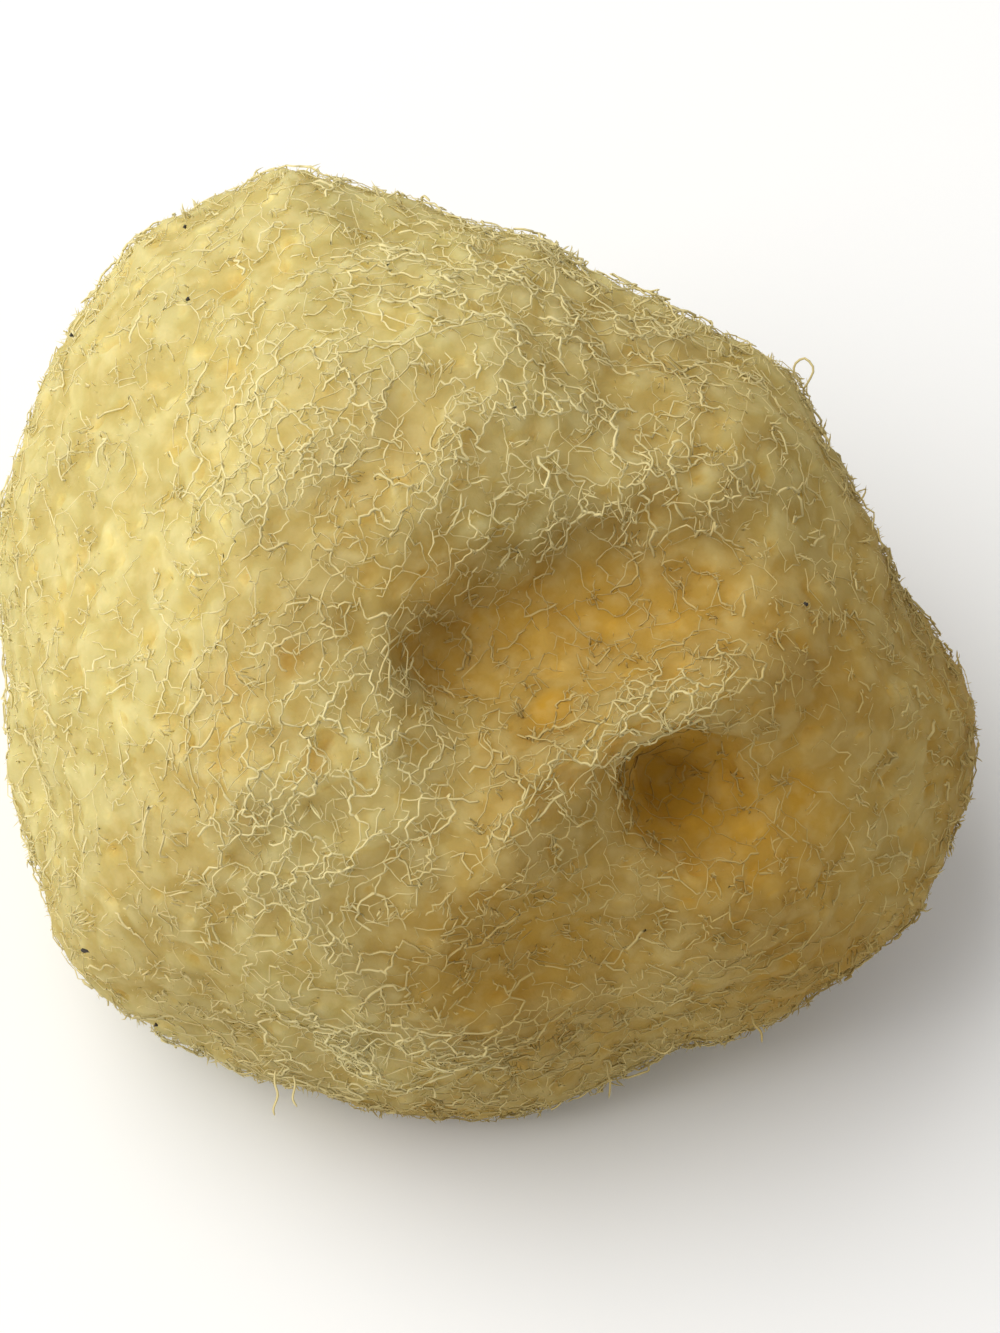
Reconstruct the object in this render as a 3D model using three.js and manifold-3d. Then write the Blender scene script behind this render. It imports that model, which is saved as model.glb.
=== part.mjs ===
// A natural bath sponge, dried and trimmed. It is one grown body: a lumpy dome whose face carries
// raised mats of fibre, an open hollow, a large oscule under a ridge and smaller pores, with more
// pores round the sides and a flat cut underneath, where it was taken from its rock.
// Millimetres, +Z up. The origin is the middle of the sponge's footprint, on the cut base.
import * as THREE from "three";
import { mergeVertices } from "three/addons/utils/BufferGeometryUtils.js";
import Module from "manifold-3d";

const wasm = await Module();
wasm.setup();

// The face is the side that the sponge is known by. It looks out along -Y and up, and its relief is
// set out on a plane square to that look: x to the right, y up the face, z out of it.
const FACE_ELEVATION = 60; // degrees above the horizon
const FRONT_BULGE = 37; // from the middle of the body out to the face
const BACK_BULGE = 34; // from the middle of the body to its far side
const BASE_DROP = 29; // from the middle of the body down to the cut
const SKIN_DETAIL = 18; // splits of each icosahedron edge, about 2.8 mm a facet
const BLOCK = 200; // the side of the block that keeps what is above the cut

// The body's outline as the face is looked at, anticlockwise from the right.
const OUTLINE = [
  [44.3, -6], [40.8, 1], [37.5, 10], [32.5, 19.2], [29.3, 24.7], [21, 28],
  [10.5, 33], [0, 38.9], [-9.7, 41.4], [-19.2, 43], [-27, 39.6], [-34.3, 35.5],
  [-39.2, 30.4], [-42.3, 21.8], [-44.4, 10.7], [-45.2, 0], [-45.2, -11], [-42.9, -21.2],
  [-38.6, -29.4], [-29.6, -35.3], [-19, -40.8], [-7.1, -44.8], [4.9, -41.8], [13.8, -37.4],
  [23.8, -35], [34.6, -30.9], [40.5, -23.9], [42.3, -14.4],
];

const RIM_SHARE = 0.98; // the face is laid out to this share of the outline's reach
const RELIEF_FADE = 3; // the face's relief fades where the skin faces outward less than 1 / this

// Low mounds (height above 0) and hollows (below 0) of the face, each an ellipse with soft edges.
const MOUNDS = [
  { name: "upper mat", at: [6, 24], half: [17, 10], turn: -18, height: 2.2 },
  { name: "left mat", at: [-17, 17], half: [12, 10], turn: 0, height: 1.4 },
  { name: "lower left mat", at: [-16, -14], half: [13, 14], turn: 20, height: 2.8 },
  { name: "right shoulder", at: [33, 0], half: [8, 12], turn: 20, height: 1.2 },
  { name: "open hollow", at: [10, 3], half: [15, 7], turn: 12, height: -7.5 },
  { name: "hollow's low end", at: [-1, 0], half: [5.5, 5], turn: 0, height: -3.5 },
  { name: "lower hollow", at: [3, -27], half: [12, 4.5], turn: 8, height: -3.2 },
  { name: "oscule's bowl", at: [21.4, -14.2], half: [11.5, 6.6], turn: -10, height: -4.8 },
  { name: "oscule's deep end", at: [17, -13.8], half: [5, 4.6], turn: 0, height: -2 },
];

const MOUND_EDGE = 1.4; // 1 is a plain bell; more gives a flatter top and steeper sides

// Long ridges and channels of the face: the points they follow, their half width and height.
const CRESTS = [
  { name: "ridge over the oscule", path: [[1, -17], [8, -10], [16, -5], [23, -1]], half: 4.6, height: 3.2 },
  { name: "channel by the lower mat", path: [[-3, -3], [-2, -11], [-4, -19]], half: 3.4, height: -3.6 },
  { name: "crease at the upper left", path: [[-38, 32], [-31, 26], [-24, 23]], half: 3, height: -1.6 },
  { name: "fold at the lower right", path: [[25, -34], [20, -28], [13, -25]], half: 3, height: -1.6 },
];

// Pores of the face: where their mouths are, their radius, how many times as wide as high they are,
// how deep, and how far they lean to the right and up the face on the way in.
const FACE_PORES = [
  { name: "oscule", at: [16.6, -12.6], radius: 3.3, wide: 1.5, depth: 6.4, lean: [-0.4, 0.2] },
  { name: "pore by the oscule", at: [27.1, -13.3], radius: 1.6, wide: 0.9, depth: 1.3, lean: [-0.1, 0] },
  { name: "pore in the hollow", at: [4.9, -4.9], radius: 2, wide: 1.4, depth: 2.2, lean: [0.2, 0.2] },
  { name: "pore at the hollow's end", at: [-4, -2], radius: 1.8, wide: 0.8, depth: 2.2, lean: [0.3, -0.3] },
  { name: "pore of the lower left mat", at: [-23.4, -3.6], radius: 2, wide: 0.8, depth: 1.5, lean: [0.2, 0] },
  { name: "slot of the lower left mat", at: [-17.2, -1.1], radius: 2.2, wide: 0.5, depth: 1.3, lean: [0, -0.2] },
  { name: "dimple of the lower left mat", at: [-14.8, -10.2], radius: 1.7, wide: 0.8, depth: 1.3, lean: [0, 0] },
];

// Pores of the other sides: the way they face, in degrees, anticlockwise from +X and above the horizon.
const SIDE_PORES = [
  { toward: 62, above: 24, radius: 5, wide: 1.25, depth: 11 },
  { toward: 88, above: -6, radius: 2.6, wide: 0.8, depth: 5 },
  { toward: 112, above: 30, radius: 3, wide: 0.8, depth: 6.5 },
  { toward: 145, above: 2, radius: 2.5, wide: 1.2, depth: 5.5 },
  { toward: 24, above: 8, radius: 3, wide: 0.8, depth: 6 },
  { toward: 200, above: 4, radius: 2.4, wide: 1.2, depth: 4.5 },
  { toward: 232, above: -14, radius: 2.3, wide: 0.8, depth: 4 },
  { toward: 335, above: -12, radius: 2.2, wide: 1.2, depth: 4 },
];
const PORE_SIDES = 14; // facets round a pore
const PORE_FLARE = 1.5; // how much wider a pore is where it meets the skin
const PORE_CLEARANCE = 4; // how far the shape that cuts a pore stands out of the skin
const PORE_WALL = [[1, 0.16], [0.82, 0.5], [0.5, 0.85]]; // shares of a pore's radius and depth

// Irregular growth: waves of lumps laid over the whole skin, the longest first.
const LUMP_WAVES = [
  { length: 36, height: 0.8, count: 5 },
  { length: 19, height: 0.45, count: 7 },
  { length: 11, height: 0.22, count: 9 },
];
const SEED = 41;

// Repeatable pseudo-random numbers from 0 to 1.
function randomSource(seed) {
  let state = seed;
  return () => {
    state = (state * 1664525 + 1013904223) % 4294967296;
    return state / 4294967296;
  };
}

function makeLumpWaves() {
  const random = randomSource(SEED);
  const waves = [];
  for (const { length, height, count } of LUMP_WAVES) {
    for (let i = 0; i < count; i++) {
      const rise = 2 * random() - 1;
      const turn = 2 * Math.PI * random();
      const flat = Math.sqrt(1 - rise * rise);
      const way = new THREE.Vector3(flat * Math.cos(turn), flat * Math.sin(turn), rise);
      waves.push({
        way: way.multiplyScalar((2 * Math.PI) / length),
        phase: 2 * Math.PI * random(),
        height: height / Math.sqrt(count / 2),
      });
    }
  }
  return waves;
}
const lumpWaves = makeLumpWaves();

function lumpHeight(point) {
  return lumpWaves.reduce((sum, w) => sum + w.height * Math.sin(w.way.dot(point) + w.phase), 0);
}

// The outline as a table of reach against angle, read with straight lines between its entries.
const REACH_STEPS = 720;
function makeReachTable() {
  const points = OUTLINE.map(([x, y]) => new THREE.Vector3(x, y, 0));
  const curve = new THREE.CatmullRomCurve3(points, true, "centripetal");
  const samples = curve.getSpacedPoints(4 * REACH_STEPS);
  const table = new Array(REACH_STEPS).fill(0);
  for (const p of samples) {
    const turn = (Math.atan2(p.y, p.x) / (2 * Math.PI) + 1) % 1;
    const slot = Math.floor(turn * REACH_STEPS);
    table[slot] = Math.max(table[slot], Math.hypot(p.x, p.y));
  }
  return table;
}
const reachTable = makeReachTable();

function outlineReach(angle) {
  const place = ((angle / (2 * Math.PI) + 1) % 1) * REACH_STEPS;
  const slot = Math.floor(place) % REACH_STEPS;
  const share = place - Math.floor(place);
  return reachTable[slot] * (1 - share) + reachTable[(slot + 1) % REACH_STEPS] * share;
}

function moundHeight(x, y, { at, half, turn, height }) {
  const angle = THREE.MathUtils.degToRad(turn);
  const dx = x - at[0];
  const dy = y - at[1];
  const along = (dx * Math.cos(angle) + dy * Math.sin(angle)) / half[0];
  const across = (dy * Math.cos(angle) - dx * Math.sin(angle)) / half[1];
  return height * Math.exp(-Math.pow(along * along + across * across, MOUND_EDGE));
}

function crestHeight(x, y, { path, half, height }) {
  const here = new THREE.Vector3(x, y, 0);
  const nearest = new THREE.Vector3();
  let gap = Infinity;
  for (let i = 1; i < path.length; i++) {
    const stretch = new THREE.Line3(
      new THREE.Vector3(...path[i - 1], 0),
      new THREE.Vector3(...path[i], 0),
    );
    stretch.closestPointToPoint(here, true, nearest);
    gap = Math.min(gap, nearest.distanceTo(here));
  }
  return height * Math.exp(-((gap / half) ** 2));
}

function faceRelief(x, y) {
  const mounds = MOUNDS.reduce((sum, mound) => sum + moundHeight(x, y, mound), 0);
  return CRESTS.reduce((sum, crest) => sum + crestHeight(x, y, crest), mounds);
}

// A point of the skin in the face's frame, for a unit direction from the middle of the body.
function skinPoint(direction) {
  const reach = outlineReach(Math.atan2(direction.y, direction.x));
  const bulge = direction.z > 0 ? FRONT_BULGE : BACK_BULGE;
  const point = new THREE.Vector3(direction.x * reach, direction.y * reach, direction.z * bulge);
  point.addScaledVector(direction, lumpHeight(point));
  if (direction.z > 0) point.z += faceRelief(point.x, point.y) * Math.min(1, RELIEF_FADE * direction.z);
  return point;
}

// The direction whose skin point lies at (x, y) on the face, before lumps.
function faceDirection(x, y) {
  const angle = Math.atan2(y, x);
  const share = Math.min(RIM_SHARE, Math.hypot(x, y) / outlineReach(angle));
  return new THREE.Vector3(
    share * Math.cos(angle),
    share * Math.sin(angle),
    Math.sqrt(1 - share * share),
  );
}

const faceToPart = new THREE.Matrix4().makeRotationX(
  THREE.MathUtils.degToRad(90 - FACE_ELEVATION),
);
const partToFace = faceToPart.clone().invert();

function toSolid(geometry) {
  geometry.deleteAttribute("normal");
  geometry.deleteAttribute("uv");
  const merged = mergeVertices(geometry, 1e-4);
  return new wasm.Manifold(
    new wasm.Mesh({
      numProp: 3,
      vertProperties: new Float32Array(merged.attributes.position.array),
      triVerts: new Uint32Array(merged.index.array),
    }),
  );
}

function toGeometry(solid) {
  const mesh = solid.getMesh();
  const geometry = new THREE.BufferGeometry();
  geometry.setAttribute("position", new THREE.BufferAttribute(mesh.vertProperties, 3));
  geometry.setIndex(new THREE.BufferAttribute(mesh.triVerts, 1));
  geometry.computeVertexNormals();
  return geometry;
}

function makeSkin() {
  const geometry = new THREE.IcosahedronGeometry(1, SKIN_DETAIL);
  const positions = geometry.attributes.position;
  const direction = new THREE.Vector3();
  for (let i = 0; i < positions.count; i++) {
    direction.fromBufferAttribute(positions, i).normalize();
    const point = skinPoint(direction).applyMatrix4(faceToPart);
    positions.setXYZ(i, point.x, point.y, point.z);
  }
  return toSolid(geometry);
}

// A pore is a closed funnel to be cut away: a flared mouth, a narrowing throat and a round end.
function makePore(mouth, inward, { radius, wide, depth }) {
  const mouthRadius = radius * PORE_FLARE;
  const profile = [
    [0, PORE_CLEARANCE],
    [mouthRadius, PORE_CLEARANCE],
    [mouthRadius, 0],
    ...PORE_WALL.map(([share, down]) => [share * radius, -down * depth]),
    [0, -depth],
  ];
  const funnel = new THREE.LatheGeometry(
    profile.map(([r, z]) => new THREE.Vector2(r, z)).reverse(),
    PORE_SIDES,
  );
  const turn = new THREE.Quaternion().setFromUnitVectors(
    new THREE.Vector3(0, -1, 0),
    inward.clone().normalize(),
  );
  const stretch = new THREE.Vector3(wide, 1, 1);
  funnel.applyMatrix4(new THREE.Matrix4().compose(mouth, turn, stretch));
  return toSolid(funnel);
}

function makeFacePore(pore) {
  const mouth = skinPoint(faceDirection(...pore.at));
  const inward = new THREE.Vector3(...pore.lean, -1);
  return makePore(mouth.applyMatrix4(faceToPart), inward.transformDirection(faceToPart), pore);
}

function makeSidePore(pore) {
  const turn = THREE.MathUtils.degToRad(pore.toward);
  const rise = THREE.MathUtils.degToRad(pore.above);
  const outward = new THREE.Vector3(
    Math.cos(rise) * Math.cos(turn),
    Math.cos(rise) * Math.sin(turn),
    Math.sin(rise),
  );
  const mouth = skinPoint(outward.clone().transformDirection(partToFace));
  return makePore(mouth.applyMatrix4(faceToPart), outward.negate(), pore);
}

// The body with its pores cut in and its underside trimmed flat, standing on z = 0.
function makeSponge() {
  let body = makeSkin();
  for (const pore of FACE_PORES) body = body.subtract(makeFacePore(pore));
  for (const pore of SIDE_PORES) body = body.subtract(makeSidePore(pore));
  const block = new THREE.BoxGeometry(BLOCK, BLOCK, BLOCK);
  block.translate(0, 0, BLOCK / 2 - BASE_DROP);
  body = body.intersect(toSolid(block));
  const box = body.boundingBox();
  return body.translate(
    -(box.min[0] + box.max[0]) / 2,
    -(box.min[1] + box.max[1]) / 2,
    -box.min[2],
  );
}

const spongeMaterial = new THREE.MeshStandardMaterial({
  color: 0xc9b372,
  roughness: 0.9,
  metalness: 0,
});
const sponge = new THREE.Mesh(toGeometry(makeSponge()), spongeMaterial);
sponge.name = "sponge";

const part = new THREE.Group();
part.add(sponge);
export default part;
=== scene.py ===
"""The looks of a dried natural bath sponge: a porous core under a coat of web, tufts and down."""
import math

import bpy
import numpy as np
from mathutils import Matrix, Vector
from mathutils.bvhtree import BVHTree
from mathutils.kdtree import KDTree


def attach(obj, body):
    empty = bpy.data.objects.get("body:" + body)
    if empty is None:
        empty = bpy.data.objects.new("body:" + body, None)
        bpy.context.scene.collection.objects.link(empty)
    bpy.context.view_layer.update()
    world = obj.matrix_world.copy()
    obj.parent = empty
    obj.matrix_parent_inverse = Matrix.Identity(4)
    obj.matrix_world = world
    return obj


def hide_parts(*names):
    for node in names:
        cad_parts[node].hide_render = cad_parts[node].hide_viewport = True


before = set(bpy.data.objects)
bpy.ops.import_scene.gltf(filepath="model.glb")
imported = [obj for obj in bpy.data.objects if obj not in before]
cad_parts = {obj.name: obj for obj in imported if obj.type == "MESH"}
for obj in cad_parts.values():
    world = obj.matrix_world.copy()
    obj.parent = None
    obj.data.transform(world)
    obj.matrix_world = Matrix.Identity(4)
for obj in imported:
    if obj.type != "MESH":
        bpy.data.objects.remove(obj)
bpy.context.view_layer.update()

MM = 0.001
rng = np.random.default_rng(7)

# The face's own frame: x to the right, y up the face, z out of it, from the middle of the body
FACE_ELEVATION = math.radians(60)
BODY_MIDDLE = np.array([0.56, 1.0, 29.0]) * MM
FACE_REACH = 44 * MM
FACE_X = np.array([1.0, 0.0, 0.0])
FACE_Y = np.array([0.0, math.sin(FACE_ELEVATION), math.cos(FACE_ELEVATION)])
FACE_Z = np.array([0.0, -math.cos(FACE_ELEVATION), math.sin(FACE_ELEVATION)])

# The photograph's view
PHOTO_SIZE = (1000, 1333)
PHOTO_PIXEL = 0.0918 * MM
FACE_MIDDLE_PIXEL = (490, 645)
CAMERA_DISTANCE = 420 * MM
SENSOR = 36.0

# The skin: the CAD body's surface as small even triangles, smoothed
VOXEL = 0.6 * MM
SMOOTHING = 40
SMOOTHING_STEP = 0.55

# The core, which lies under the fibre tips by the depth of the coat
COAT = 0.65 * MM
MAT_COAT = 0.45 * MM
FLOOR_GAP = 0.25 * MM
PORE_TRIES = 16000
PORE_SPACING = 2.9 * MM
PORE_RADIUS = (0.5 * MM, 1.2 * MM)
PORE_DEPTH = 0.6
PORE_BEND = 0.35 * MM
PORE_WAVES = 3.5 * MM
FINE_LUMPS = {"length": 1.7 * MM, "count": 20, "height": 0.06 * MM}
CORE_LUMPS = {"length": 4.5 * MM, "count": 14, "height": 0.14 * MM}

# Clumps of the coat, with gaps between them where the core lies deeper
CLUMP_LENGTHS = (6.5 * MM, 3.2 * MM)
GAP_DEPTH = 0.9 * MM

# Mats of raised web on the face: middle and half size in millimetres, the ellipse's turn and the
# way that its strands run, in degrees from the right
MATS = {
    "along the top": ((4.6, 29.8), (17.4, 5.5), -12, 0),
    "hanging": ((3.7, 16.1), (18.4, 8.3), -10, 85),
    "left": ((-15.6, 17.0), (11.0, 9.2), 0, 70),
    "lower left": ((-15.6, -13.3), (12.0, 15.6), 15, 65),
    "over the oscule": ((11.0, -8.3), (15.0, 3.5), 36, 50),
    "bottom": ((-9.6, -36.7), (12.9, 4.1), 0, 10),
}

# How much longer the loops of a mat are along its strands
MAT_STRETCH = 1.7

# The mats of the sides, which come and go in slow waves, and the lengths of other slow waves
SIDE_MAT = 0.55
MAT_WAVES = 30 * MM
GRAIN_WAVES = 40 * MM
WARM_WAVES = 24 * MM
LEAN_WAVES = 14 * MM

# Painted shade in the hollows and pores of the face: middle and half size in millimetres, turn in degrees,
# and depth of colour
HOLLOW_SHADES = [
    ((17.0, -12.8), (6.5, 5.0), 0, 1.0),
    ((23.0, -15.5), (10.5, 7.0), -15, 0.75),
    ((27.1, -13.3), (2.0, 2.4), 0, 1.0),
    ((9.0, 2.5), (14.0, 6.0), 12, 0.7),
    ((4.9, -4.9), (2.4, 1.5), 40, 1.0),
    ((2.0, -26.0), (11.0, 6.5), 0, 0.5),
    ((-23.4, -3.4), (1.7, 1.7), 0, 0.5),
    ((-17.2, -1.1), (1.3, 1.8), 0, 0.6),
    ((-14.8, -10.2), (1.5, 1.6), 0, 0.6),
    ((-3.5, 5.0), (5.0, 4.0), 20, 0.6),
]

# The coat's webs, from the boldest to the finest: junctions a cell apart, strands of a radius and of
# so many points, and heights between the core, 0, and the fibre tips, 1
WEBS = {
    "web": {"cell": 1.1 * MM, "radius": (0.09 * MM, 0.15 * MM), "heights": (0.4, 0.95), "points": 9},
    "mid_web": {"cell": 1.15 * MM, "radius": (0.06 * MM, 0.10 * MM), "heights": (0.25, 0.8), "points": 8},
    "fine_web": {"cell": 1.15 * MM, "radius": (0.04 * MM, 0.065 * MM), "heights": (0.1, 0.7), "points": 6},
}
WEB_TRIES = 60000
STRAND_BEND = 0.15
MOST_TRIANGLES = 195000

# A junction joins at most this many of its nearest few, none further off than this many gaps, and
# its strands part at an angle whose cosine is at most this
LINK_MOST = 3
LINK_NEAR = 8
LINK_REACH = 2.1
LINK_TURN = 0.55

# Where a web is thinner than this share it keeps its cell, and loses strands instead
WEB_FULL = 0.35

# Locks of fibres that rise to one tip: heights in depths of the coat, the spread of feet and tips
TUFTS = 1800
TUFT_FIBRES = 3
TUFT_RADIUS = (0.06 * MM, 0.11 * MM)
TUFT_HEIGHTS = (0.8, 1.4)
TUFT_FEET = 0.6 * MM
TUFT_TIPS = 0.25 * MM
TUFT_BEND = 0.07 * MM

# Down: short fine hairs, with their heights in depths of the coat
DOWN = 12000
DOWN_RADIUS = 0.045 * MM
DOWN_HEIGHTS = (0.6, 1.3)
DOWN_BEND = 0.12 * MM

# The webs thin out by this share from here to here, to the left and right of the face's middle
CALM_FROM = 14 * MM
CALM_TO = 30 * MM
CALM = 0.6

# Loose strands at the edge: the face place of the root, then points from it, in millimetres
STRAYS = [
    (
        29.0, 23.2,
        (0.6, 0.9, 0.3), (1.0, 2.0, 0.5), (0.2, 2.9, 0.6),
        (-0.7, 2.3, 0.5), (-0.6, 1.2, 0.4), (0.3, 0.5, 0.2),
    ),
    (-19.4, -38.6, (-0.1, -1.2, 0.3), (0.2, -2.4, 0.6), (-0.2, -3.6, 0.4), (-0.1, -4.3, 0.2)),
    (-17.6, -39.2, (0.2, -1.0, 0.2), (0.0, -2.2, 0.5), (0.4, -3.0, 0.5)),
    (10.6, -38.6, (0.1, -1.1, 0.2), (0.3, -2.0, 0.4), (0.2, -3.4, 0.4)),
    (14.6, -36.6, (0.6, -0.5, 0.3), (1.5, -0.9, 0.6), (2.2, -0.4, 0.8), (2.4, 0.4, 0.6)),
    (24.0, -33.8, (0.2, -0.9, 0.2), (0.8, -1.6, 0.5), (0.9, -2.6, 0.4)),
]
STRAY_POINTS = 15
STRAY_RADIUS = 0.13 * MM

# Dark bits caught in the fibres: face place and length in millimetres, and way in degrees
DEBRIS = [
    (-36.1, -27.5, 1.3, 15),
    (-26.5, 30.3, 0.4, 60),
    (-37.6, 28.0, 0.4, 0),
    (-30.3, -34.6, 0.5, 80),
    (-27.0, 37.5, 0.4, 30),
    (27.5, 3.4, 0.5, 90),
]
DEBRIS_RADIUS = 0.22 * MM

# Colours, the first of each pair toward the upper left and the second, painted shade away from the window,
# toward the lower right:
# the core's, which the fibre roots share as painted shade deep in the coat, and the fibres' pale tips.
# Painted shade in hollows, pores and gaps between clumps is deeper amber.
CREAM = (0.575, 0.485, 0.18)
SHADED_AMBER = (0.33, 0.20, 0.042)
PALE_CREAM = (0.95, 0.84, 0.45)
SHADED_PALE_AMBER = (0.55, 0.41, 0.15)
RECESS_SHADE_AMBER = (0.50, 0.27, 0.025)
WHITE = (1.0, 1.0, 1.0)

# The floor, an even sky, and a large soft light to the upper left of the face
FLOOR_HALF = 1.5
FLOOR_GREY = (0.97, 0.97, 0.97)
SKY_STRENGTH = 0.45
WINDOW_AT = (-0.70, 0.58, 0.90)
WINDOW_SIZE = 1.4
WINDOW_WATTS = 17
WINDOW_COLOUR = (1.0, 0.99, 0.96)


def from_face(x, y, z=0.0):
    """A row-frame point from the face's frame, in metres."""
    return BODY_MIDDLE + x * FACE_X + y * FACE_Y + z * FACE_Z


def unit(vectors):
    return vectors / np.maximum(np.linalg.norm(vectors, axis=-1, keepdims=True), 1e-12)


def eased(low, high, values):
    """0 below low, 1 above high and a smooth step between."""
    share = np.clip((values - low) / (high - low), 0, 1)
    return share * share * (3 - 2 * share)


class Waves:
    """Smooth noise of about -1 to 1: a sum of plane waves in random directions."""

    def __init__(self, length, count=14):
        ways = unit(rng.normal(size=(count, 3))) * 2 * math.pi / length
        self.ways = ways * rng.uniform(0.7, 1.4, (count, 1))
        self.phases = rng.uniform(0, 2 * math.pi, count)

    def __call__(self, points):
        return np.sin(points @ self.ways.T + self.phases).sum(-1) / math.sqrt(len(self.phases) / 2)


def read(items, name, width, kind=np.float32):
    found = np.empty(len(items) * width, kind)
    items.foreach_get(name, found)
    return found.reshape(-1, width)


# Camera


def make_camera():
    data = bpy.data.cameras.new("camera")
    data.sensor_width = SENSOR
    data.lens = SENSOR * CAMERA_DISTANCE / (PHOTO_SIZE[1] * PHOTO_PIXEL)
    data.clip_start = 0.01
    camera = bpy.data.objects.new("camera", data)
    bpy.context.scene.collection.objects.link(camera)
    right = (PHOTO_SIZE[0] / 2 - FACE_MIDDLE_PIXEL[0]) * PHOTO_PIXEL
    up = (FACE_MIDDLE_PIXEL[1] - PHOTO_SIZE[1] / 2) * PHOTO_PIXEL
    camera.location = from_face(right, up, CAMERA_DISTANCE)
    camera.rotation_mode = "QUATERNION"
    camera.rotation_quaternion = (-Vector(FACE_Z)).to_track_quat("-Z", "Y")
    bpy.context.scene.camera = camera


# The skin that the coat grows on


def even_mesh(source):
    """The CAD body's surface as an even, smoothed mesh: its points and triangles."""
    body = bpy.data.objects.new("body_copy", source.copy())
    bpy.context.scene.collection.objects.link(body)
    voxels = body.modifiers.new("voxels", "REMESH")
    voxels.mode = "VOXEL"
    voxels.voxel_size = VOXEL
    even = body.evaluated_get(bpy.context.evaluated_depsgraph_get()).to_mesh()
    even.calc_loop_triangles()
    points = read(even.vertices, "co", 3).astype(float)
    triangles = read(even.loop_triangles, "vertices", 3, np.int32)
    bpy.data.objects.remove(body)
    ends = np.concatenate([triangles[:, [0, 1]], triangles[:, [1, 2]], triangles[:, [2, 0]]])
    count = np.bincount(ends[:, 0], minlength=len(points))[:, None]
    for _ in range(SMOOTHING):
        sums = [np.bincount(ends[:, 0], points[ends[:, 1], k], len(points)) for k in range(3)]
        points += SMOOTHING_STEP * (np.stack(sums, -1) / count - points)
    return points, triangles


def normals_of(points, triangles):
    a, b, c = (points[triangles[:, k]] for k in range(3))
    face = np.cross(b - a, c - a)
    total = np.zeros_like(points)
    for k in range(3):
        for axis in range(3):
            total[:, axis] += np.bincount(triangles[:, k], face[:, axis], len(points))
    return unit(total)


class Tree:
    """Nearest neighbours among a set of points."""

    def __init__(self, points):
        self.tree = KDTree(len(points))
        for i, p in enumerate(points):
            self.tree.insert(p, i)
        self.tree.balance()

    def nearest(self, points, count):
        """The indices of and distances to the nearest few, for each point."""
        found = [self.tree.find_n(p, count) for p in points]
        indices = np.array([[k for _, k, _ in f] for f in found])
        distances = np.array([[d for _, _, d in f] for f in found])
        return indices, distances


class Skin:
    """The surface that the fibre tips reach, and what is known at each of its points."""

    def __init__(self, source):
        self.points, self.triangles = even_mesh(source)
        self.normals = normals_of(self.points, self.triangles)
        self.sky = self.open_sky()
        under = eased(0.75, 0.95, -self.normals[:, 2]) * eased(3 * MM, 1.5 * MM, self.points[:, 2])
        self.room = eased(0.15, 0.6, self.sky) * (1 - 0.8 * under)
        self.mat, self.grain = mats(self.points, self.normals)
        self.mat = self.mat * self.room
        # Painted shade: amber toward the lower right, away from the window, cream toward the upper left
        self.side_shade = painted_side_shade(self.points, self.normals)
        self.clump = clumps(self.points)
        # Painted shade: deeper amber in the listed hollows and pores of the face
        self.hollow_shade = hollow_shades(self.points, self.normals)

    def open_sky(self, chosen=7000, rays=28, reach=30 * MM):
        """The share of rays that get away from each point: 0 deep in a pore, 1 in the open."""
        tree = BVHTree.FromPolygons(self.points.tolist(), self.triangles.tolist())
        picked = rng.choice(len(self.points), chosen, replace=False)
        ways = unit(rng.normal(size=(rays, 3)))
        sky = np.empty(chosen)
        for i, k in enumerate(picked):
            start = Vector(self.points[k] + self.normals[k] * 0.4 * MM)
            side = np.where(ways @ self.normals[k] > 0, 1.0, -1.0)[:, None]
            sky[i] = sum(tree.ray_cast(start, Vector(way), reach)[0] is None for way in ways * side) / rays
        near, _ = Tree(self.points[picked]).nearest(self.points, 4)
        return sky[near].mean(1)

    def scatter(self, count, share=None):
        """Random spots of the skin, more of them where share, a value at each point, is higher."""
        a, b, c = (self.points[self.triangles[:, k]] for k in range(3))
        weight = np.linalg.norm(np.cross(b - a, c - a), axis=1)
        if share is not None:
            weight = weight * share[self.triangles].mean(1)
        face = rng.choice(len(self.triangles), count, p=weight / weight.sum())
        u, v = rng.random(count), rng.random(count)
        over = u + v > 1
        u[over], v[over] = 1 - u[over], 1 - v[over]
        return Spots(self, self.triangles[face], np.stack([1 - u - v, u, v], -1))


class Spots:
    """Places on the skin, with the skin's values there."""

    def __init__(self, skin, corners, weights):
        self.skin, self.corners, self.weights = skin, corners, weights
        self.points = self.at(skin.points)
        self.normals = unit(self.at(skin.normals))
        self.room = self.at(skin.room)
        self.sky = self.at(skin.sky)
        self.mat = self.at(skin.mat)
        self.side_shade = self.at(skin.side_shade)
        self.clump = self.at(skin.clump)
        self.hollow_shade = self.at(skin.hollow_shade)
        self.grain = unit(self.at(skin.grain))

    def at(self, values):
        picked = values[self.corners]
        return (picked * self.weights.reshape(self.weights.shape + (1,) * (picked.ndim - 2))).sum(1)

    def kept(self, chosen):
        return Spots(self.skin, self.corners[chosen], self.weights[chosen])

    def raised(self, heights):
        """The spots lifted from the core, at height 0, to the fibre tips, at height 1."""
        lower = 0.4 + 0.6 * self.clump
        return self.points + self.normals * ((heights * lower - 1) * coat_depth(self))[:, None]


def coat_depth(place):
    """How far the core lies under the tips: more in mats and between clumps, less in pores."""
    gap = GAP_DEPTH * (1 - place.clump) * (0.35 + 0.65 * place.mat)
    return (COAT + MAT_COAT * place.mat + gap) * (0.3 + 0.7 * place.room)


def clumps(points):
    """Where the coat gathers in clumps: 1 in their middles to 0 in the gaps between them."""
    long, short = CLUMP_LENGTHS
    return eased(-0.8, 0.9, Waves(long, 24)(points) + 0.6 * Waves(short, 24)(points))


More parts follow.
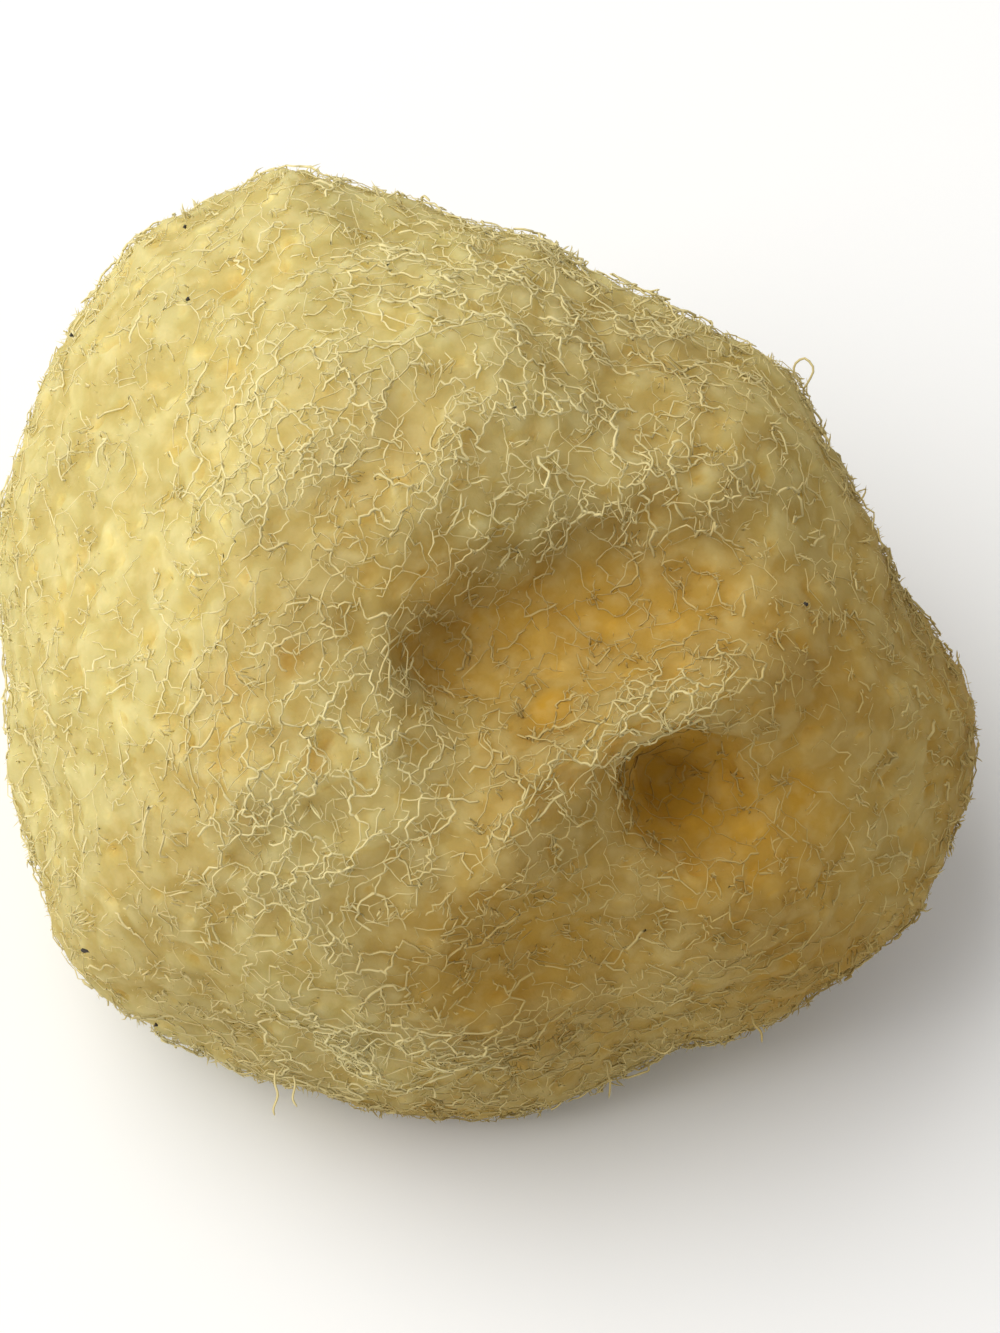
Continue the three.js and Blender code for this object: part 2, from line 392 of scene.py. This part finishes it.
def hollow_shades(points, normals):
    """Painted shade in the listed hollows and pores of the face: how deep the amber is, from 0 to 1."""
    away = points - BODY_MIDDLE
    x, y = away @ FACE_X / MM, away @ FACE_Y / MM
    found = np.zeros(len(points))
    for middle, half, turn, most in HOLLOW_SHADES:
        along, across = turned(x - middle[0], y - middle[1], turn)
        inside = np.exp(-((along / half[0]) ** 2 + (across / half[1]) ** 2))
        found = np.maximum(found, most * inside)
    return found * eased(-0.1, 0.3, normals @ FACE_Z)


def painted_side_shade(points, normals):
    """From 0, cream toward the upper left and the rim, to 1, amber toward the lower right: painted shade
    away from the window, with more amber toward the middle of the face and a little random tone.
    """
    away = points - BODY_MIDDLE
    x, y = away @ FACE_X / FACE_REACH, away @ FACE_Y / FACE_REACH
    inward = (1 - np.hypot(x, y)) * eased(-0.3, 0.3, normals @ FACE_Z)
    return np.clip(0.35 + 0.6 * (0.8 * x - 0.6 * y) + 0.3 * inward + 0.1 * Waves(WARM_WAVES)(points), 0, 1)


def mats(points, normals):
    """How strongly the web is matted, from 0 to 1, and the way that its strands run."""
    away = points - BODY_MIDDLE
    x, y = away @ FACE_X / MM, away @ FACE_Y / MM
    faces = eased(0.0, 0.3, normals @ FACE_Z)
    strength = SIDE_MAT * (1 - faces) * eased(0.1, 0.9, Waves(MAT_WAVES)(points))
    grain = (1 - faces)[:, None] * np.stack([Waves(GRAIN_WAVES)(points) for _ in range(3)], -1) * 0.3
    for middle, half, turn, way in MATS.values():
        along, across = turned(x - middle[0], y - middle[1], turn)
        inside = np.exp(-((along / half[0]) ** 2 + (across / half[1]) ** 2) ** 1.5) * faces
        strength = np.maximum(strength, inside)
        run = math.cos(math.radians(way)) * FACE_X + math.sin(math.radians(way)) * FACE_Y
        grain += inside[:, None] * run
    grain += 0.05 * rng.normal(size=3)
    grain -= (grain * normals).sum(-1, keepdims=True) * normals
    return strength, unit(grain)


def turned(x, y, degrees):
    angle = math.radians(degrees)
    return x * math.cos(angle) + y * math.sin(angle), y * math.cos(angle) - x * math.sin(angle)


AROUND = [(x, y, z) for x in (0, -1, 1) for y in (0, -1, 1) for z in (0, -1, 1)]


def spaced(points, gaps):
    """The indices of points kept in turn, none nearer than its own gap to one kept before."""
    cell = gaps.max()
    cells = {}
    kept = []
    for i, (p, gap) in enumerate(zip(points.tolist(), gaps.tolist())):
        home = (math.floor(p[0] / cell), math.floor(p[1] / cell), math.floor(p[2] / cell))
        clear = True
        for step in AROUND:
            for q in cells.get((home[0] + step[0], home[1] + step[1], home[2] + step[2]), ()):
                if (p[0] - q[0]) ** 2 + (p[1] - q[1]) ** 2 + (p[2] - q[2]) ** 2 < gap * gap:
                    clear = False
                    break
            if not clear:
                break
        if clear:
            cells.setdefault(home, []).append(p)
            kept.append(i)
    return np.array(kept)


# Meshes


def make_mesh(name, points, triangles, attributes, uv):
    """A smooth-shaded mesh object from arrays, with its point attributes and baking map."""
    mesh = bpy.data.meshes.new(name)
    mesh.vertices.add(len(points))
    mesh.vertices.foreach_set("co", points.astype(np.float32).ravel())
    mesh.loops.add(3 * len(triangles))
    mesh.loops.foreach_set("vertex_index", triangles.astype(np.int32).ravel())
    mesh.polygons.add(len(triangles))
    mesh.polygons.foreach_set("loop_start", np.arange(0, 3 * len(triangles), 3, dtype=np.int32))
    mesh.polygons.foreach_set("use_smooth", np.ones(len(triangles), bool))
    for key, values in attributes.items():
        made = mesh.attributes.new(key, "FLOAT", "POINT")
        made.data.foreach_set("value", values.astype(np.float32))
    layer = mesh.uv_layers.new(name="OFBake")
    layer.data.foreach_set("uv", uv.astype(np.float32).ravel())
    mesh.update(calc_edges=True)
    mesh.validate()
    piece = bpy.data.objects.new(name, mesh)
    bpy.context.scene.collection.objects.link(piece)
    return piece


def octahedral_map(points, triangles):
    """A map of a roughly round body: each point's direction, folded flat from an octahedron."""
    away = points - points.mean(0)
    away /= np.abs(away).sum(1, keepdims=True)
    flat = away[:, :2].copy()
    under = away[:, 2] < 0
    sign = np.where(flat >= 0, 1.0, -1.0)
    flat[under] = (1 - np.abs(flat[under][:, ::-1])) * sign[under]
    return (flat * 0.5 + 0.5)[triangles]


# Core


def pore_depth(skin):
    """Small pores over the skin: 0 between them to 1 in their middles, and their radii."""
    spots = skin.scatter(PORE_TRIES)
    kept = spaced(spots.points, np.full(len(spots.points), PORE_SPACING))
    middles = spots.points[kept]
    radii = rng.uniform(*PORE_RADIUS, len(middles)) * rng.uniform(0.7, 1.25, len(middles))
    bend = np.stack([Waves(PORE_WAVES)(skin.points) for _ in range(3)], -1) * PORE_BEND
    near, gaps = Tree(middles).nearest(skin.points + bend, 1)
    radius = radii[near[:, 0]]
    return np.clip(1 - gaps[:, 0] / radius, 0, 1), radius


def lumps(points, length, count, height):
    return Waves(length, count)(points) * height


def make_core(skin):
    depth, radius = pore_depth(skin)
    pore = eased(0, 0.8, depth)
    push = lumps(skin.points, **FINE_LUMPS) + lumps(skin.points, **CORE_LUMPS) - coat_depth(skin)
    push -= pore * radius * PORE_DEPTH * (0.5 + 0.5 * skin.room)
    points = skin.points + skin.normals * push[:, None]
    points[:, 2] = np.maximum(points[:, 2], FLOOR_GAP)
    # The share of closed sky, the turn toward the lower right and the listed hollows below drive painted
    # shade in the colour
    attributes = {
        "pore": pore,
        "hollow": 1 - skin.sky,
        "clump": skin.clump,
        "mat": skin.mat,
        "side_shade": skin.side_shade,
        "hollow_shade": skin.hollow_shade,
    }
    uv = octahedral_map(points, skin.triangles)
    return make_mesh("sponge_core", points, skin.triangles, attributes, uv)


# Fibres


def tubes(lines, radii):
    """Three-sided tubes along many lines at once, pointed at both ends."""
    count, steps = lines.shape[:2]
    along = unit(np.gradient(lines, axis=1))
    side = unit(np.cross(along[:, 0], unit(rng.normal(size=(count, 3)))))
    rings = []
    for k in range(1, steps - 1):
        side = unit(side - (side * along[:, k]).sum(-1, keepdims=True) * along[:, k])
        other = np.cross(along[:, k], side)
        for turn in (0, 2 * math.pi / 3, 4 * math.pi / 3):
            offset = math.cos(turn) * side + math.sin(turn) * other
            rings.append(lines[:, k] + radii[:, k, None] * offset)
    points = np.stack([lines[:, 0], *rings, lines[:, -1]], 1)
    faces = [(0, 1 + (k + 1) % 3, 1 + k) for k in range(3)]
    for ring in range(steps - 3):
        low, high = 1 + 3 * ring, 4 + 3 * ring
        for k in range(3):
            n = (k + 1) % 3
            faces += [(low + k, low + n, high + n), (low + k, high + n, high + k)]
    top = 1 + 3 * (steps - 3)
    faces += [(top + k, top + (k + 1) % 3, top + 3) for k in range(3)]
    faces = np.array(faces)
    each = points.shape[1]
    triangles = (faces[None] + each * np.arange(count)[:, None, None]).reshape(-1, 3)
    level = np.concatenate([[0], np.repeat(np.arange(1, steps - 1), 3), [steps - 1]])
    return points.reshape(-1, 3), triangles, level, fibre_map(faces, level / (steps - 1), count)


def fibre_map(faces, level, count):
    """A map that gives each fibre a cell of its own, with its three sides laid across the cell."""
    grid = math.ceil(math.sqrt(count))
    across = np.full(len(level), 0.5)
    across[1:-1] = np.tile(np.arange(3) / 3, (len(level) - 2) // 3)
    u = across[faces]
    wraps = (u.max(1) - u.min(1)) > 0.5
    u = np.where(wraps[:, None] & (u < 0.1), 1.0, u)
    cell = np.stack([0.06 + 0.88 * u, 0.04 + 0.92 * level[faces]], -1)
    corner = np.stack([np.arange(count) % grid, np.arange(count) // grid], -1)
    return ((cell[None] + corner[:, None, None, :]) / grid).reshape(-1, 2)


def make_fibres(name, lines, radii, lift, spots, tone):
    """A piece of many fibres. lift, from 0 at the core to 1 at the tips, has a value at each step."""
    lines[:, :, 2] = np.maximum(lines[:, :, 2], FLOOR_GAP + radii)
    points, triangles, level, uv = tubes(lines, radii)
    each = len(level)
    # The share of closed sky, the turn toward the lower right and the listed hollows below drive painted
    # shade in the colour
    attributes = {
        "lift": lift[:, level].ravel(),
        "hollow": np.repeat(1 - spots.sky, each),
        "side_shade": np.repeat(spots.side_shade, each),
        "hollow_shade": np.repeat(spots.hollow_shade, each),
        "mat": np.repeat(spots.mat, each),
        "tone": np.repeat(tone, each),
    }
    return make_mesh(name, points, triangles, attributes, uv)


def links(points, grain, stretch, gap):
    """Pairs of neighbouring junctions that make a web of loops, the shortest chosen first."""
    near, _ = Tree(points).nearest(points, LINK_NEAR + 1)
    pairs = []
    for i, row in enumerate(near):
        for k in row[1:]:
            if i < k:
                away = points[k] - points[i]
                along = away @ grain[i]
                length = math.sqrt(max(away @ away - along * along * (1 - 1 / stretch[i] ** 2), 0))
                pairs.append((length, i, int(k)))
    pairs.sort()
    ways = {}
    kept = []
    for length, i, k in pairs:
        if length > gap[i] * LINK_REACH:
            continue
        way = unit(points[k] - points[i])
        first, second = ways.setdefault(i, []), ways.setdefault(k, [])
        if len(first) >= LINK_MOST or len(second) >= LINK_MOST:
            continue
        if any(way @ other > LINK_TURN for other in first):
            continue
        if any(-way @ other > LINK_TURN for other in second):
            continue
        first.append(way)
        second.append(-way)
        kept.append((i, k))
    return np.array(kept)


def make_web(name, skin, density):
    """A web of curling strands between junctions, with longer loops where it is matted."""
    cell, radius, heights, points = WEBS[name].values()
    spots = skin.scatter(WEB_TRIES, np.maximum(density, WEB_FULL))
    gap = cell / np.sqrt(np.maximum(spots.at(density), WEB_FULL))
    chosen = spaced(spots.points, gap)
    spots, gap = spots.kept(chosen), gap[chosen]
    pairs = links(spots.points, spots.grain, 1 + (MAT_STRETCH - 1) * spots.mat, gap)
    share = spots.at(density)[pairs[:, 0]] / WEB_FULL
    pairs = pairs[rng.random(len(pairs)) < share]
    height = rng.uniform(*heights, len(spots.points))
    ends = spots.raised(height)
    steps = np.concatenate([[-0.06], np.linspace(0.02, 0.98, points - 2), [1.06]])
    each = 6 * points - 12
    most = MOST_TRIANGLES // each
    if len(pairs) > most:
        pairs = pairs[np.sort(rng.choice(len(pairs), most, replace=False))]
    print(name, len(chosen), "junctions", len(pairs), "strands", len(pairs) * each, "triangles")
    a, b = pairs.T
    away = ends[b] - ends[a]
    length = np.linalg.norm(away, axis=1)[:, None, None]
    lines = ends[a][:, None] + away[:, None] * steps[None, :, None]
    normal = spots.normals[a][:, None]
    for wave in (1, 2, 3, 4):
        swing = rng.normal(size=(len(pairs), 1, 3)) * length * STRAND_BEND / wave
        swing -= 0.55 * (swing * normal).sum(-1, keepdims=True) * normal
        lines += swing * np.sin(wave * math.pi * np.clip(steps, 0, 1))[None, :, None]
    thick = rng.uniform(*radius, len(pairs))[:, None] * rng.uniform(0.85, 1.1, (len(pairs), points))
    thick[:, [0, -1]] = 0
    lift = height[a][:, None] * (1 - steps) + height[b][:, None] * steps
    return make_fibres(name, lines, thick, lift, spots.kept(a), rng.random(len(pairs)))


def make_down(skin):
    """Short fine hairs that stand all over the skin, thickest at its sides, and soften its edge."""
    sides = 1 - 0.6 * eased(0.2, 0.7, skin.normals @ FACE_Z)
    spots = skin.scatter(DOWN, (0.3 + 0.7 * skin.room) * sides)
    lean = unit(0.8 * spots.normals + 0.7 * rng.normal(size=spots.normals.shape))
    tall = rng.uniform(*DOWN_HEIGHTS, DOWN)
    root = spots.raised(np.full(DOWN, -0.15))
    length = coat_depth(spots) * tall
    share = np.array([0.0, 0.55, 1.0])
    lines = root[:, None] + lean[:, None] * (share[None, :, None] * length[:, None, None])
    lines[:, 1] += rng.normal(size=(DOWN, 3)) * DOWN_BEND
    radii = np.tile([0.0, DOWN_RADIUS, 0.0], (DOWN, 1))
    return make_fibres("down", lines, radii, share[None] * tall[:, None], spots, rng.random(DOWN))


def make_tufts(skin):
    """Locks of a few fibres that rise together from round a spot and lean to one tip."""
    spots = skin.scatter(TUFTS, 0.2 + 0.8 * skin.room)
    drift = np.stack([Waves(LEAN_WAVES)(spots.points) for _ in range(3)], -1)
    lean = unit(spots.normals + 0.5 * drift + 0.3 * rng.normal(size=drift.shape))
    height = coat_depth(spots) * rng.uniform(*TUFT_HEIGHTS, TUFTS)
    foot = spots.raised(np.full(TUFTS, -0.2))
    tip = foot + lean * height[:, None]
    share = np.linspace(0, 1, 5)[None, :, None]
    lines = []
    for _ in range(TUFT_FIBRES):
        off = rng.normal(size=drift.shape)
        off -= (off * spots.normals).sum(-1, keepdims=True) * spots.normals
        root = foot + off * TUFT_FEET
        middle = (root + tip) / 2 + spots.normals * height[:, None] * 0.1 + off * TUFT_FEET / 4
        end = tip + rng.normal(size=tip.shape) * TUFT_TIPS
        first, last = (1 - share) ** 2 * root[:, None], share ** 2 * end[:, None]
        lines.append(first + 2 * share * (1 - share) * middle[:, None] + last)
    lines = np.concatenate(lines)
    lines[:, 1:4] += rng.normal(size=(len(lines), 3, 3)) * TUFT_BEND
    radii = rng.uniform(*TUFT_RADIUS, len(lines))[:, None] * np.array([0.0, 1.0, 0.95, 0.8, 0.0])
    lift = np.tile(np.linspace(0, 1, 5), (len(lines), 1))
    every = np.tile(np.arange(TUFTS), TUFT_FIBRES)
    return make_fibres("tufts", lines, radii, lift, spots.kept(every), rng.random(TUFTS)[every])


def rim_point(skin, x, y):
    """The frontmost point of the skin that looks nearest to a face place in millimetres."""
    away = skin.points - BODY_MIDDLE
    off = np.hypot(away @ FACE_X - x * MM, away @ FACE_Y - y * MM)
    front = np.where(off < off.min() + 0.3 * MM, away @ FACE_Z, -1.0)
    return int(front.argmax())


def make_strays(skin):
    """The loose strands that stand out of the edge: a little ring, hanging ends and a spike."""
    lines = []
    spots = []
    for x, y, *path in STRAYS:
        spot = rim_point(skin, x, y)
        root = skin.points[spot] - skin.normals[spot] * COAT
        places = [root] + [root + (dx * FACE_X + dy * FACE_Y + dz * FACE_Z) * MM for dx, dy, dz in path]
        lines.append(smooth_line(np.array(places), STRAY_POINTS))
        spots.append(spot)
    lines = np.array(lines)
    radii = np.tile(STRAY_RADIUS * np.sin(np.linspace(0.35, 2.9, STRAY_POINTS)) ** 0.3, (len(lines), 1))
    lift = np.ones((len(lines), STRAY_POINTS))
    places = Spots(skin, np.array([[k, k, k] for k in spots]), np.full((len(spots), 3), 1 / 3))
    return make_fibres("strays", lines, radii, lift, places, np.ones(len(lines)))


def smooth_line(points, count):
    """Points evenly along a Catmull-Rom curve through the given ones."""
    ends = np.concatenate([[2 * points[0] - points[1]], points, [2 * points[-1] - points[-2]]])
    along = np.linspace(0, len(points) - 1, count)
    piece = np.minimum(along.astype(int), len(points) - 2)
    t = (along - piece)[:, None]
    a, b, c, d = (ends[piece + k] for k in range(4))
    square, cube = 2 * a - 5 * b + 4 * c - d, 3 * b - a - 3 * c + d
    return 0.5 * (2 * b + (c - a) * t + square * t ** 2 + cube * t ** 3)


def make_debris(skin):
    """Dark bits of grit and shell caught in the fibres."""
    lines = []
    for x, y, long, way in DEBRIS:
        spot = rim_point(skin, x, y)
        run = math.cos(math.radians(way)) * FACE_X + math.sin(math.radians(way)) * FACE_Y
        run = unit(run - (run @ skin.normals[spot]) * skin.normals[spot])
        share = np.linspace(-0.5, 0.5, 5)[:, None]
        line = skin.points[spot] + skin.normals[spot] * 0.05 * MM + run * long * MM * share
        line[1:4] += rng.normal(size=(3, 3)) * 0.06 * MM
        lines.append(line)
    lines = np.array(lines)
    radii = np.tile(np.array([0.0, 0.8, 1.0, 0.7, 0.0]) * DEBRIS_RADIUS, (len(lines), 1))
    points, triangles, _, uv = tubes(lines, radii)
    return make_mesh("debris", points, triangles, {}, uv)


# Materials


def nodes_of(name):
    material = bpy.data.materials.new(name)
    material.use_nodes = True
    tree = material.node_tree
    return material, tree, tree.nodes["Principled BSDF"]


def attribute(tree, name):
    node = tree.nodes.new("ShaderNodeAttribute")
    node.attribute_name = name
    return node.outputs["Fac"]


def ramp(tree, source, stops):
    node = tree.nodes.new("ShaderNodeValToRGB")
    while len(node.color_ramp.elements) < len(stops):
        node.color_ramp.elements.new(0.5)
    for element, (place, colour) in zip(node.color_ramp.elements, stops):
        element.position = place
        element.color = (*colour, 1)
    tree.links.new(source, node.inputs["Fac"])
    return node.outputs["Color"]


def mixed(tree, share, first, second, kind="MIX"):
    node = tree.nodes.new("ShaderNodeMix")
    node.data_type = "RGBA"
    node.blend_type = kind
    for socket, value in ((node.inputs[0], share), (node.inputs[6], first), (node.inputs[7], second)):
        if isinstance(value, bpy.types.NodeSocket):
            tree.links.new(value, socket)
        elif isinstance(value, (int, float)):
            socket.default_value = value
        else:
            socket.default_value = (*value, 1)
    return node.outputs[2]


def noise(tree, scale, detail):
    place = tree.nodes.new("ShaderNodeTexCoord")
    node = tree.nodes.new("ShaderNodeTexNoise")
    node.inputs["Scale"].default_value = scale
    node.inputs["Detail"].default_value = detail
    tree.links.new(place.outputs["Object"], node.inputs["Vector"])
    return node.outputs["Fac"]


def share_of(tree, source, low, high, most=1.0):
    """A number from 0 at low to most at high."""
    node = tree.nodes.new("ShaderNodeMapRange")
    node.interpolation_type = "SMOOTHSTEP"
    for name, value in (("From Min", low), ("From Max", high), ("To Min", 0.0), ("To Max", most)):
        node.inputs[name].default_value = value
    tree.links.new(source, node.inputs["Value"])
    return node.outputs["Result"]


def core_material():
    material, tree, shader = nodes_of("sponge_core")
    # Both ramps turn from cream to amber toward the lower right: painted shade away from the window
    base = ramp(tree, attribute(tree, "side_shade"), [(0.0, CREAM), (1.0, SHADED_AMBER)])
    pale = ramp(tree, attribute(tree, "side_shade"), [(0.0, PALE_CREAM), (1.0, SHADED_PALE_AMBER)])
    veiled = mixed(tree, share_of(tree, attribute(tree, "clump"), 0.2, 1.0, 0.15), base, pale)
    veiled = mixed(tree, share_of(tree, attribute(tree, "mat"), 0.1, 1.0, 0.15), veiled, pale)
    # Deeper amber in the gaps between clumps, where the core lies lower: painted shade
    between = mixed(tree, share_of(tree, attribute(tree, "clump"), 0.6, 0.0, 0.15), veiled, RECESS_SHADE_AMBER)
    # Deeper amber in the listed hollows and pores: painted shade
    hollow_shaded = mixed(tree, share_of(tree, attribute(tree, "hollow_shade"), 0.0, 1.0, 0.9), between, RECESS_SHADE_AMBER)
    # Deeper amber where little sky reaches: painted shade
    occlusion_shaded = mixed(tree, share_of(tree, attribute(tree, "hollow"), 0.35, 0.75, 0.8), hollow_shaded, RECESS_SHADE_AMBER)
    # Deeper amber inside the small pores: painted shade
    deep = mixed(tree, share_of(tree, attribute(tree, "pore"), 0.0, 1.0, 0.25), occlusion_shaded, RECESS_SHADE_AMBER)
    mottle = share_of(tree, noise(tree, 520, 3.0), 0.42, 0.68, 0.2)
    tree.links.new(mixed(tree, mottle, deep, pale), shader.inputs["Base Color"])
    shader.inputs["Roughness"].default_value = 0.85
    shader.subsurface_method = "BURLEY"
    shader.inputs["Subsurface Weight"].default_value = 1.0
    shader.inputs["Subsurface Radius"].default_value = (1.0, 0.7, 0.3)
    shader.inputs["Subsurface Scale"].default_value = 5 * MM
    shader.inputs["Specular IOR Level"].default_value = 0.1
    grain = noise(tree, 1500, 2.0)
    bump = tree.nodes.new("ShaderNodeBump")
    bump.inputs["Strength"].default_value = 0.35
    bump.inputs["Distance"].default_value = 0.4 * MM
    tree.links.new(grain, bump.inputs["Height"])
    tree.links.new(bump.outputs["Normal"], shader.inputs["Normal"])
    return material


def fibre_material(name):
    material, tree, shader = nodes_of(name)
    # Both ramps turn from cream to amber toward the lower right: painted shade away from the window
    low = ramp(tree, attribute(tree, "side_shade"), [(0.0, CREAM), (1.0, SHADED_AMBER)])
    high = ramp(tree, attribute(tree, "side_shade"), [(0.0, PALE_CREAM), (1.0, SHADED_PALE_AMBER)])
    pale_tips = mixed(tree, share_of(tree, attribute(tree, "mat"), 0.1, 1.0, 0.4), high, PALE_CREAM)
    # Fibres take the core's darker colour at their roots and the pale colour at their tips: painted shade
    # deep in the coat
    base = mixed(tree, share_of(tree, attribute(tree, "lift"), -0.6, 0.5, 1.0), low, pale_tips)
    # Deeper amber in the listed hollows and pores: painted shade
    hollow_shaded = mixed(tree, share_of(tree, attribute(tree, "hollow_shade"), 0.0, 1.0, 0.4), base, RECESS_SHADE_AMBER)
    # Deeper amber where little sky reaches: painted shade
    occlusion_shaded = mixed(tree, share_of(tree, attribute(tree, "hollow"), 0.35, 0.8, 0.45), hollow_shaded, RECESS_SHADE_AMBER)
    shade = ramp(tree, attribute(tree, "tone"), [(0.0, (0.88, 0.87, 0.84)), (1.0, WHITE)])
    tree.links.new(mixed(tree, 1.0, occlusion_shaded, shade, "MULTIPLY"), shader.inputs["Base Color"])
    shader.inputs["Roughness"].default_value = 0.75
    shader.inputs["Specular IOR Level"].default_value = 0
    return material


def debris_material():
    material, _, shader = nodes_of("debris")
    shader.inputs["Base Color"].default_value = (0.05, 0.04, 0.03, 1)
    shader.inputs["Roughness"].default_value = 0.8
    return material


# Floor and light


def make_floor():
    mesh = bpy.data.meshes.new("floor")
    half = FLOOR_HALF
    corners = [(-half, -half, 0), (half, -half, 0), (half, half, 0), (-half, half, 0)]
    mesh.from_pydata(corners, [], [(0, 1, 2, 3)])
    floor = bpy.data.objects.new("floor", mesh)
    bpy.context.scene.collection.objects.link(floor)
    material, _, shader = nodes_of("floor")
    shader.inputs["Base Color"].default_value = (*FLOOR_GREY, 1)
    shader.inputs["Roughness"].default_value = 0.9
    shader.inputs["Specular IOR Level"].default_value = 0
    mesh.materials.append(material)


def make_window():
    data = bpy.data.lights.new("window", "AREA")
    data.size = WINDOW_SIZE
    data.energy = WINDOW_WATTS
    data.color = WINDOW_COLOUR
    window = bpy.data.objects.new("window", data)
    bpy.context.scene.collection.objects.link(window)
    window.location = from_face(*WINDOW_AT)
    window.rotation_mode = "QUATERNION"
    window.rotation_quaternion = (Vector(BODY_MIDDLE) - window.location).to_track_quat("-Z", "Y")


def make_sky():
    world = bpy.data.worlds.new("studio")
    world.use_nodes = True
    background = world.node_tree.nodes["Background"]
    background.inputs["Color"].default_value = (*WHITE, 1)
    background.inputs["Strength"].default_value = SKY_STRENGTH
    bpy.context.scene.world = world


make_camera()
skin = Skin(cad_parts["sponge"].data)
front = skin.normals @ FACE_Z
sideways = np.abs((skin.points - BODY_MIDDLE) @ FACE_X)
calm = 1 - CALM * eased(CALM_FROM, CALM_TO, sideways) * eased(0, 0.3, front)
everywhere = (0.6 + 0.4 * eased(-0.2, 0.4, front)) * calm * (0.4 + 0.6 * skin.room)
core = make_core(skin)
pieces = [core]
thick = skin.clump * skin.mat
pieces.append(make_web("web", skin, everywhere * (0.08 + 0.92 * thick)))
pieces.append(make_web("mid_web", skin, everywhere * (0.2 + 0.8 * thick)))
pieces.append(make_web("fine_web", skin, everywhere * (0.35 + 0.65 * skin.clump)))
pieces += [make_tufts(skin), make_down(skin), make_strays(skin), make_debris(skin)]
core.data.materials.append(core_material())
fibre = fibre_material("sponge_fibre")
for piece in pieces[1:-1]:
    piece.data.materials.append(fibre)
pieces[-1].data.materials.append(debris_material())
for piece in pieces:
    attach(piece, "root")
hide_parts("sponge")

make_floor()
make_sky()
make_window()
bpy.context.scene.view_settings.view_transform = "Standard"
bpy.context.scene.cycles.diffuse_bounces = 2

for piece in pieces:
    print(piece.name, len(piece.data.polygons), "triangles")
